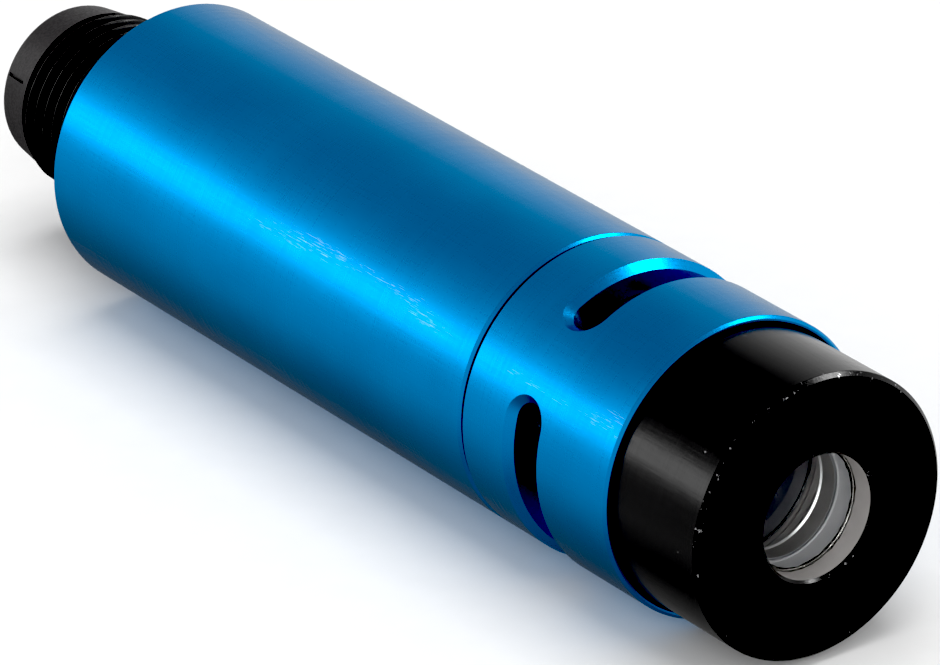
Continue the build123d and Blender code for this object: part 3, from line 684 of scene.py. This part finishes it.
def make_window():
    rim_r = window_r - WINDOW_BEVEL
    skin = Skin()
    skin.turned([(window_front, rim_r, 0), (window_front, 0, 0)], closed=False)
    skin.turned([(window_rear, 0, 0), (window_rear, rim_r, 0)], closed=False)
    skin.turned([
        (window_rear, rim_r, 0),
        (window_rear + WINDOW_BEVEL, window_r, 0),
        (window_front - WINDOW_BEVEL, window_r, 0),
        (window_front, rim_r, 0),
    ], finish=1, closed=False)
    skin.piece(
        "exit_window_glass", "nose", "optical_glass",
        [finishes["optical_glass"], ground_glass], ["exit_window"],
    )


def wander(angle, *turns):
    """A slow closed wave round the axis between -1 and 1, from waves of the given numbers of turns."""
    return sum(np.sin(np.radians(angle * n) + n * n) for n in turns) / len(turns)


def make_bead():
    """The adhesive fillet between window and nose, wider in some places than in others."""
    width = BEAD_WIDTH * (1 + BEAD_WANDER * wander(AROUND, 3, 5, 11, 17, 29))
    lift = BEAD_WIDTH * (1 + BEAD_WANDER * wander(AROUND, 2, 7, 13, 23, 31))
    across = np.linspace(0, 1, ROUND_STEPS + 1)[:, None]
    sag = 0.25 * across * (1 - across)
    r = APERTURE_R - width * (1 - across) * (1 - sag)
    points = r[..., None] * radial(AROUND)
    points[..., 0] = window_front + lift * across * (1 - sag)
    edge = APERTURE_R * radial(AROUND)
    edge[..., 0] = window_front
    skin = Skin()
    skin.band(points[::-1])
    skin.band(np.stack([edge, points[-1]]))
    skin.band(np.stack([points[0], edge]))
    skin.piece("window_bond_bead", "nose", "clear_adhesive", [finishes["clear_adhesive"]], ["window_bond"])


def make_retainer():
    """The threaded ring behind the window, with a small bright lip inside its rear edge."""
    bore = RETAINER_BORE_R
    skin = Skin()
    skin.turned([
        (retainer_rear + RETAINER_LIP, bore, 0),
        (retainer_rear, bore - RETAINER_LIP, 0),
        (retainer_rear, cell_r, 0),
        (window_rear - ASSEMBLY, cell_r, 0),
        (window_rear - ASSEMBLY, bore, 0),
    ], closed=False)
    skin.turned([(window_rear - ASSEMBLY, bore, 0), (retainer_rear + RETAINER_LIP, bore, 0)], 1, closed=False)
    skin.piece(
        "window_retainer_ring", "nose", "bare_aluminium", [finishes["bare_aluminium"], bored_metal],
        ["window_retainer"],
    )


make_barrel()
make_ring()
make_nose()
make_shell()
make_window()
make_bead()
make_retainer()

# ---- floor, light and camera
FLOOR_SIZE = 3.0
floor_mesh = bpy.data.meshes.new("floor")
side = FLOOR_SIZE / 2
floor_z = cad_low.z
floor_mesh.from_pydata(
    [(-side, -side, floor_z), (side, -side, floor_z), (side, side, floor_z), (-side, side, floor_z)],
    [], [(0, 1, 2, 3)],
)
floor = bpy.data.objects.new("floor", floor_mesh)
bpy.context.scene.collection.objects.link(floor)
floor.visible_glossy = False
paper = Finish("paper", roughness=0.9, specular_ior_level=0.1)
weave = paper.noise(0.4, 0.4, detail=3.0)
paper.feed("Base Color", paper.mix(weave, (0.86, 0.86, 0.86), (0.9, 0.9, 0.9)))
floor_mesh.materials.append(paper.material)

world = bpy.data.worlds.new("studio")
bpy.context.scene.world = world
world.use_nodes = True
sky = world.node_tree
background = sky.nodes["Background"]
where = sky.nodes.new("ShaderNodeTexCoord")
split = sky.nodes.new("ShaderNodeSeparateXYZ")
sky.links.new(where.outputs["Generated"], split.inputs[0])


def sky_ramp(*stops):
    """Grey against height: each stop is the height of a direction, from -1 to 1, and its brightness."""
    raised = sky.nodes.new("ShaderNodeMapRange")
    raised.inputs["From Min"].default_value = -1
    ramp = sky.nodes.new("ShaderNodeValToRGB")
    while len(ramp.color_ramp.elements) < len(stops):
        ramp.color_ramp.elements.new(0.5)
    for element, (height, grey) in zip(ramp.color_ramp.elements, stops):
        element.position = (height + 1) / 2
        element.color = (grey, grey, grey, 1)
    sky.links.new(split.outputs["Z"], raised.inputs["Value"])
    sky.links.new(raised.outputs[0], ramp.inputs["Fac"])
    return ramp.outputs["Color"]


near_side = sky_ramp(
    (-0.68, 0.26), (-0.42, 0.58), (-0.08, 0.7), (0.3, 0.78), (0.45, 0.7), (0.57, 0.45), (0.68, 0.36),
)
far_side = sky_ramp(
    (-0.5, 0.16), (-0.25, 0.93), (0.0, 0.95), (0.3, 0.84), (0.46, 0.64), (0.58, 0.47), (0.68, 0.38),
)
side_share = sky.nodes.new("ShaderNodeMapRange")
side_share.interpolation_type = "SMOOTHSTEP"
side_share.inputs["From Min"].default_value = -0.3
side_share.inputs["From Max"].default_value = 0.5
sky.links.new(split.outputs["Y"], side_share.inputs["Value"])
both_sides = sky.nodes.new("ShaderNodeMix")
both_sides.data_type = "RGBA"
sky.links.new(side_share.outputs[0], both_sides.inputs[0])
sky.links.new(near_side, both_sides.inputs[6])
sky.links.new(far_side, both_sides.inputs[7])
sky.links.new(both_sides.outputs[2], background.inputs["Color"])


def soft_light(name, toward, distance, width, height, radiance, glossy=True, diffuse=True):
    """A rectangular studio light that faces the middle of the object."""
    data = bpy.data.lights.new(name, "AREA")
    data.shape = "RECTANGLE"
    data.size, data.size_y = width, height
    data.energy = radiance * math.pi * width * height
    light = bpy.data.objects.new(name, data)
    bpy.context.scene.collection.objects.link(light)
    middle = Vector(((cad_low.x + cad_high.x) / 2, 0, 0))
    direction = Vector(toward).normalized()
    light.location = middle + direction * distance
    light.rotation_euler = direction.to_track_quat("Z", "Y").to_euler()
    light.visible_camera = False
    light.visible_glossy = glossy
    light.visible_diffuse = diffuse


soft_light("side_box", (-0.733, -0.648, 0.207), 0.6, 1.0, 0.15, 1.6)
soft_light("overhead_box", (0.0, 0.0, 1.0), 1.2, 1.0, 1.0, 3.0, glossy=False)
soft_light("front_box", (0.8, -0.5, 0.33), 0.8, 0.8, 0.8, 2.5, glossy=False)
soft_light("rim_box", (0.38, 0.63, 0.67), 0.6, 0.16, 0.16, 10.0, diffuse=False)

scene = bpy.context.scene
scene.view_settings.view_transform = "Standard"
scene.view_settings.use_curve_mapping = True
scene.view_settings.curve_mapping.black_level = (0.04, 0.04, 0.04)
camera_data = bpy.data.cameras.new("camera")
camera_data.lens = 305.2
camera_data.clip_start, camera_data.clip_end = 0.01, 20
camera = bpy.data.objects.new("camera", camera_data)
scene.collection.objects.link(camera)
camera.location = (0.38697, -0.25741, 0.20416)
camera.rotation_euler = Vector((-0.7334, 0.5314, -0.4239)).to_track_quat("-Z", "Y").to_euler()
scene.camera = camera
